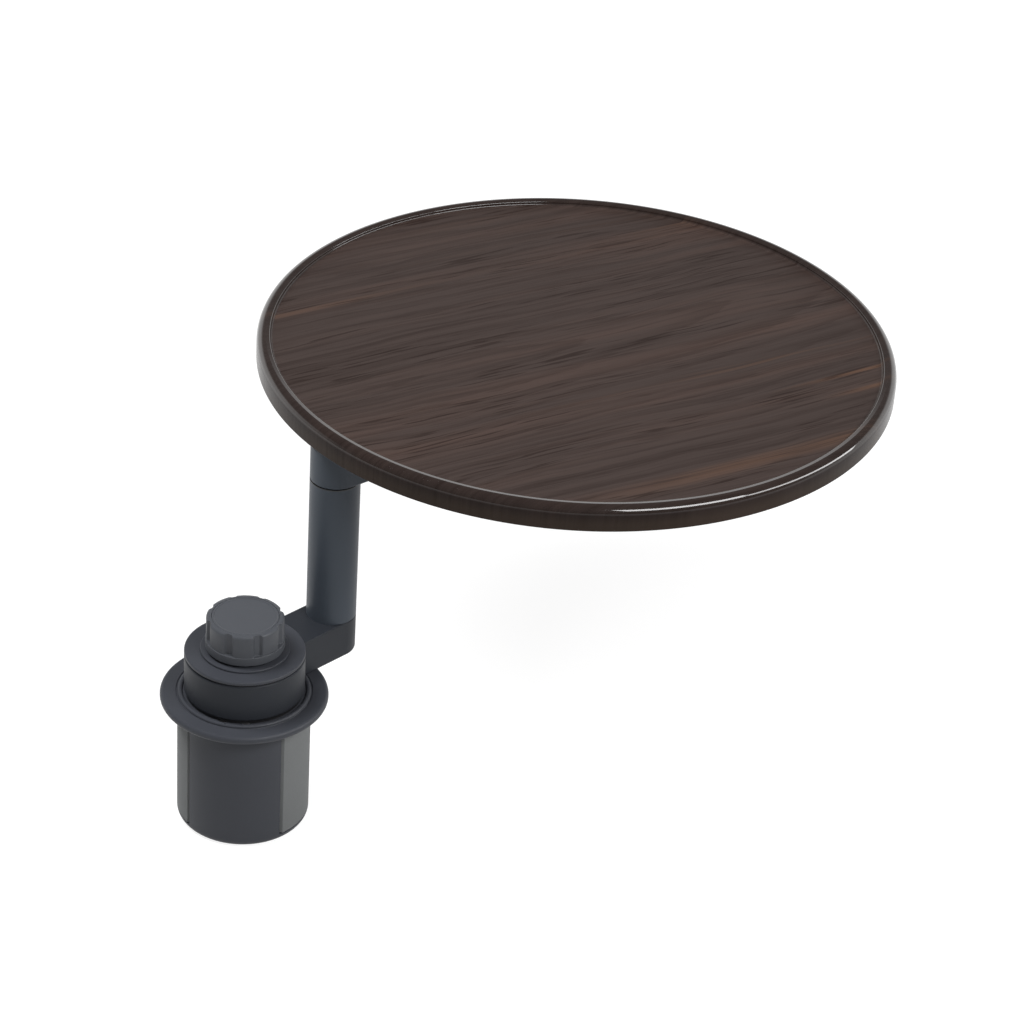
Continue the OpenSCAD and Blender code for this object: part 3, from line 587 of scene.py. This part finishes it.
class TRAYTABLE_OT_finishes(Operator):
    """Makes the finishes and gives them to the CAD nodes"""
    bl_idname = "traytable.finishes"
    bl_label = "Finishes"

    def execute(self, context):
        colours = settings().colours
        make_wood_figure()
        make_moulded_skin()
        make_settled_dust()
        make_turning_marks()
        make_walnut(colours, settings().tray)
        for name, (tint, *sizes) in SATINS.items():
            make_satin(name, getattr(colours, tint), *sizes)
        for name, (tint, roughness) in METALS.items():
            make_metal(name, getattr(colours, tint), roughness)
        for name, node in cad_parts.items():
            for slot in node.material_slots:
                if slot.material.name + FINISH not in bpy.data.materials:
                    raise RuntimeError(f"node {name} has no finish named {slot.material.name}")
                slot.material = finish_named(OWN_FINISH.get(name, slot.material.name))
        return {"FINISHED"}


class TRAYTABLE_OT_tray(Operator):
    """Turns the walnut tray with its raised rim"""
    bl_idname = "traytable.tray"
    bl_label = "Tray"

    def execute(self, context):
        sizes = settings().tray
        low, high = TRAY_LOW.z, TRAY_HIGH.z
        field = high - sizes.field_drop
        sunk = TRAY_RADIUS - sizes.rim_width
        section = [
            (0, low, 0),
            (TRAY_RADIUS, low, sizes.under_round),
            (TRAY_RADIUS, high, sizes.rim_round),
            (TRAY_RADIUS - sizes.rim_flat, high, 0),
            (sunk, high - sizes.rim_fall, sizes.crest_round),
            (sunk, field, sizes.cove),
            (0, field, 0),
        ]
        bm = turned(section, TRAY_STEPS, 2 * ARC_STEPS)
        move_to(bm, (TRAY_AXIS.x, TRAY_AXIS.y, 0))
        finish_mesh(bm, "tray_top", "head", "tabletop", "walnut")
        return {"FINISHED"}


def cut_notches(bm, sizes, foot, grip_radius):
    """Draws the grip's points in to the outline of the notches, with a run-out at their feet."""
    pitch = 2 * math.pi / sizes.notches
    for vert in bm.verts:
        radius = math.hypot(vert.co.x, vert.co.y)
        if radius < grip_radius - 2 * sizes.notch_depth or vert.co.z < foot + WELD:
            continue
        turn = math.atan2(vert.co.y, vert.co.x) - sizes.notch_phase
        aside = abs((turn + pitch / 2) % pitch - pitch / 2) * grip_radius
        share = min(1.0, max(0.0, (sizes.notch_width / 2 - aside) / sizes.notch_side))
        rise = min(1.0, (vert.co.z - foot) / sizes.notch_foot)
        depth = sizes.notch_depth * share * share * (3 - 2 * share) * math.sqrt(1 - (1 - rise) ** 2)
        if radius > grip_radius - depth:
            vert.co.x *= (grip_radius - depth) / radius
            vert.co.y *= (grip_radius - depth) / radius


class TRAYTABLE_OT_knob(Operator):
    """Makes the notched knob and its cap disc"""
    bl_idname = "traytable.knob"
    bl_label = "Knob and disc"

    def execute(self, context):
        sizes = settings().knob
        low, high = KNOB_LOW.z, KNOB_HIGH.z + sizes.crown
        grip = sizes.radius - sizes.skirt_step
        skirt_top = low + sizes.skirt_height
        seat = high - sizes.disc_depth
        hollow = grip - sizes.notch_depth - sizes.wall
        step = sizes.notch_foot / FOOT_STEPS
        foot = [(grip, skirt_top + part * step, 0) for part in range(FOOT_STEPS + 1)]
        section = [
            (sizes.bore, low, 0),
            (sizes.boss, low, 0),
            (sizes.boss, seat - sizes.web, 0),
            (hollow, seat - sizes.web, 0),
            (hollow, low, sizes.lip),
            (sizes.radius, low, 2 * sizes.lip),
            (sizes.radius, skirt_top, sizes.skirt_step),
            *foot,
            (grip, high - sizes.fall, sizes.shoulder),
            (sizes.disc_radius, high, sizes.lip),
            (sizes.disc_radius, seat, 0),
            (sizes.bore, seat, 0),
        ]
        bm = turned(section, KNOB_STEPS, ARC_STEPS)
        cut_notches(bm, sizes, skirt_top, grip)
        finish_mesh(bm, "knob_grip", "knob", "knob", "knob_plastic")
        bottom, top = DISC_LOW.z + sizes.crown, DISC_HIGH.z + sizes.crown
        edge = sizes.disc_radius - sizes.disc_gap
        border = edge - sizes.disc_border
        disc = [
            (0, bottom, 0),
            (edge, bottom, 0),
            (edge, top, sizes.lip),
            (border, top, sizes.lip / 2),
            (border - sizes.disc_dish, top - sizes.disc_dish, sizes.lip / 2),
            (0, top - sizes.disc_dish, 0),
        ]
        finish_mesh(turned(disc, DISC_STEPS), "knob_disc", "knob", "knob_cap", "knob_plastic")
        return {"FINISHED"}


class TRAYTABLE_OT_pads(Operator):
    """Makes the curved rubber pads of the two jaws"""
    bl_idname = "traytable.pads"
    bl_label = "Rubber pads"

    def execute(self, context):
        sizes = settings().pads
        for name, body, node, half_turn in (("right_tread", "right_jaw", "right_pad", 0),
                                            ("left_tread", "left_jaw", "left_pad", math.pi)):
            bm = pad_slab(sizes)
            bmesh.ops.rotate(bm, verts=bm.verts[:], cent=(0, 0, 0),
                             matrix=Matrix.Rotation(sizes.base_turn + half_turn, 3, "Z"))
            finish_mesh(bm, name, body, node, "pad_rubber")
        return {"FINISHED"}


def pad_slab(sizes):
    """One curved pad on the +X side, cut straight at both sides and rounded all over."""
    inner = sizes.outer_radius - sizes.thickness
    half = sizes.width / 2
    reach = math.asin(min(0.99, half / inner)) + PAD_OVERLAP
    bm = bmesh.new()
    corners = [bm.verts.new((radius, 0, height)) for radius, height in
               ((inner, JAW_LOW.z), (sizes.outer_radius, JAW_LOW.z),
                (sizes.outer_radius, JAW_HIGH.z), (inner, JAW_HIGH.z))]
    bm.faces.new(corners)
    bmesh.ops.rotate(bm, verts=bm.verts[:], cent=(0, 0, 0), matrix=Matrix.Rotation(-reach, 3, "Z"))
    bmesh.ops.spin(bm, geom=bm.verts[:] + bm.edges[:] + bm.faces[:], cent=(0, 0, 0), axis=(0, 0, 1),
                   dvec=(0, 0, 0), angle=2 * reach, steps=PAD_STEPS, use_merge=False, use_normal_flip=False,
                   use_duplicate=False)
    for side in (-1, 1):
        cut = bmesh.ops.bisect_plane(bm, geom=bm.verts[:] + bm.edges[:] + bm.faces[:], dist=WELD,
                                     plane_co=(0, side * half, 0), plane_no=(0, side, 0), clear_outer=True)
        edges = [part for part in cut["geom_cut"] if isinstance(part, bmesh.types.BMEdge)]
        bmesh.ops.contextual_create(bm, geom=edges)
    bmesh.ops.recalc_face_normals(bm, faces=bm.faces[:])
    sharp = [edge for edge in bm.edges if len(edge.link_faces) == 2 and edge.calc_face_angle() > CREASE]
    bmesh.ops.bevel(bm, geom=sharp, offset=sizes.edge, offset_type="OFFSET", affect="EDGES",
                    segments=PAD_EDGE_STEPS, profile=0.5, material=-1, clamp_overlap=True)
    return bm


class TRAYTABLE_OT_stage(Operator):
    """Sets the floor, the surround, the lamps and the camera"""
    bl_idname = "traytable.stage"
    bl_label = "Stage"

    def execute(self, context):
        sizes = settings().stage
        lay_floor(sizes)
        set_surround(sizes)
        hang_lamp("strip_lamp", sizes.strip_power)
        # The side lamp gives light without a highlight, and the edge lamp a highlight without light
        hang_lamp("side_lamp", sizes.side_power).visible_glossy = False
        hang_lamp("edge_lamp", sizes.edge_power).visible_diffuse = False
        place_camera(sizes)
        context.scene.view_settings.view_transform = "Standard"
        return {"FINISHED"}


def lay_floor(sizes):
    """A pale floor that the camera and the reflections see as white, with the object's shadow on it."""
    bm = bmesh.new()
    bmesh.ops.create_grid(bm, x_segments=1, y_segments=1, size=sizes.floor_size / 2)
    mesh = bpy.data.meshes.new("floor")
    bm.to_mesh(mesh)
    bm.free()
    floor = bpy.data.objects.new("floor", mesh)
    bpy.context.scene.collection.objects.link(floor)
    tree, shader = start_material("floor_paint", Roughness=0.9, Specular_IOR_Level=0.0)
    shader.inputs["Base Color"].default_value = (sizes.floor_tone, sizes.floor_tone, sizes.floor_tone, 1)
    shader.inputs["Emission Color"].default_value = (1, 1, 1, 1)
    rays = put(tree, "LightPath").outputs
    seen = sum_up(tree, "MAXIMUM", rays["Is Camera Ray"],
                  sum_up(tree, "MAXIMUM", rays["Is Glossy Ray"], rays["Is Transmission Ray"]))
    tree.links.new(sum_up(tree, "MULTIPLY", seen, sizes.floor_lift), shader.inputs["Emission Strength"])
    mesh.materials.append(finish_named("floor_paint"))


def set_surround(sizes):
    """An even surround with a pale backdrop that stands low behind the object."""
    world = bpy.data.worlds.new("studio")
    world.use_nodes = True
    bpy.context.scene.world = world
    tree = world.node_tree
    background = tree.nodes["Background"]
    background.inputs["Color"].default_value = (1, 1, 1, 1)
    look = put(tree, "TexCoord").outputs["Generated"]
    height = put(tree, "SeparateXYZ", {0: look}).outputs[2]
    behind = Matrix.Rotation(sizes.camera_turn, 3, "Z") @ Vector((0, 1, 0))
    ahead = put(tree, "VectorMath", {0: look, 1: behind}, operation="DOT_PRODUCT").outputs["Value"]
    glow = sum_up(tree, "MULTIPLY", spread(tree, height, *reversed(BACKDROP_FADE)),
                  spread(tree, ahead, *BACKDROP_SIDES))
    strength = sum_up(tree, "MULTIPLY_ADD", glow, sizes.backdrop - sizes.surround, sizes.surround)
    tree.links.new(strength, background.inputs["Strength"])


def hang_lamp(name, watts):
    """A soft oblong lamp that faces the table, from its line in LAMPS."""
    place, along, sides = LAMPS[name]
    lamp = bpy.data.lights.new(name, "AREA")
    lamp.shape = "RECTANGLE"
    lamp.size, lamp.size_y = sides
    lamp.energy = watts
    holder = bpy.data.objects.new(name, lamp)
    bpy.context.scene.collection.objects.link(holder)
    back = (Vector(place) - Vector(LAMP_AIM)).normalized()
    side = Vector(along)
    side = (side - back * side.dot(back)).normalized()
    turned_to = Matrix((side, back.cross(side), back)).transposed().to_4x4()
    holder.matrix_world = Matrix.Translation(place) @ turned_to
    return holder


def place_camera(sizes):
    """The camera at the photograph's angle."""
    tilt, roll = sizes.camera_tilt, sizes.camera_roll
    turn = Matrix.Rotation(sizes.camera_turn, 3, "Z")
    forward = Vector((0, math.cos(tilt), -math.sin(tilt)))
    right = Vector((1, 0, 0))
    up = right.cross(forward)
    side = turn @ (math.cos(roll) * right + math.sin(roll) * up)
    top = turn @ (math.cos(roll) * up - math.sin(roll) * right)
    forward = turn @ forward
    camera = bpy.data.objects.new("camera", bpy.data.cameras.new("camera"))
    camera.data.lens = sizes.lens
    camera.data.sensor_width = SENSOR_WIDTH
    camera.data.clip_start = NEAREST
    camera.data.clip_end = FARTHEST
    bpy.context.scene.collection.objects.link(camera)
    placed = Matrix((side, top, -forward)).transposed().to_4x4()
    placed.translation = Vector(sizes.target) - forward * sizes.camera_distance
    camera.matrix_world = placed
    bpy.context.scene.camera = camera


class TRAYTABLE_PT_panel(Panel):
    """Lists the steps that make the table"""
    bl_idname = "TRAYTABLE_PT_panel"
    bl_label = "Tray table"
    bl_space_type = "VIEW_3D"
    bl_region_type = "UI"
    bl_category = "Tray table"

    def draw(self, context):
        for maker in MAKERS:
            self.layout.operator(maker.bl_idname)
        for group in ("tray", "knob", "pads", "colours", "stage"):
            box = self.layout.box()
            held = getattr(context.scene.tray_table, group)
            box.label(text=group.capitalize())
            for key in held.__annotations__:
                box.prop(held, key)


MAKERS = (TRAYTABLE_OT_finishes, TRAYTABLE_OT_tray, TRAYTABLE_OT_knob, TRAYTABLE_OT_pads, TRAYTABLE_OT_stage)
CLASSES = (TraySizes, KnobSizes, PadSizes, Colours, StageSettings, TrayTableSettings, *MAKERS,
           TRAYTABLE_PT_panel)


def register():
    """Adds the classes and the scene's settings."""
    for made in CLASSES:
        bpy.utils.register_class(made)
    bpy.types.Scene.tray_table = PointerProperty(type=TrayTableSettings)


def unregister():
    """Takes the classes and the settings away again."""
    del bpy.types.Scene.tray_table
    for made in reversed(CLASSES):
        bpy.utils.unregister_class(made)


def main():
    """Makes the whole table."""
    register()
    bpy.ops.traytable.finishes()
    bpy.ops.traytable.tray()
    bpy.ops.traytable.knob()
    bpy.ops.traytable.pads()
    bpy.ops.traytable.stage()


if __name__ == "__main__":
    main()
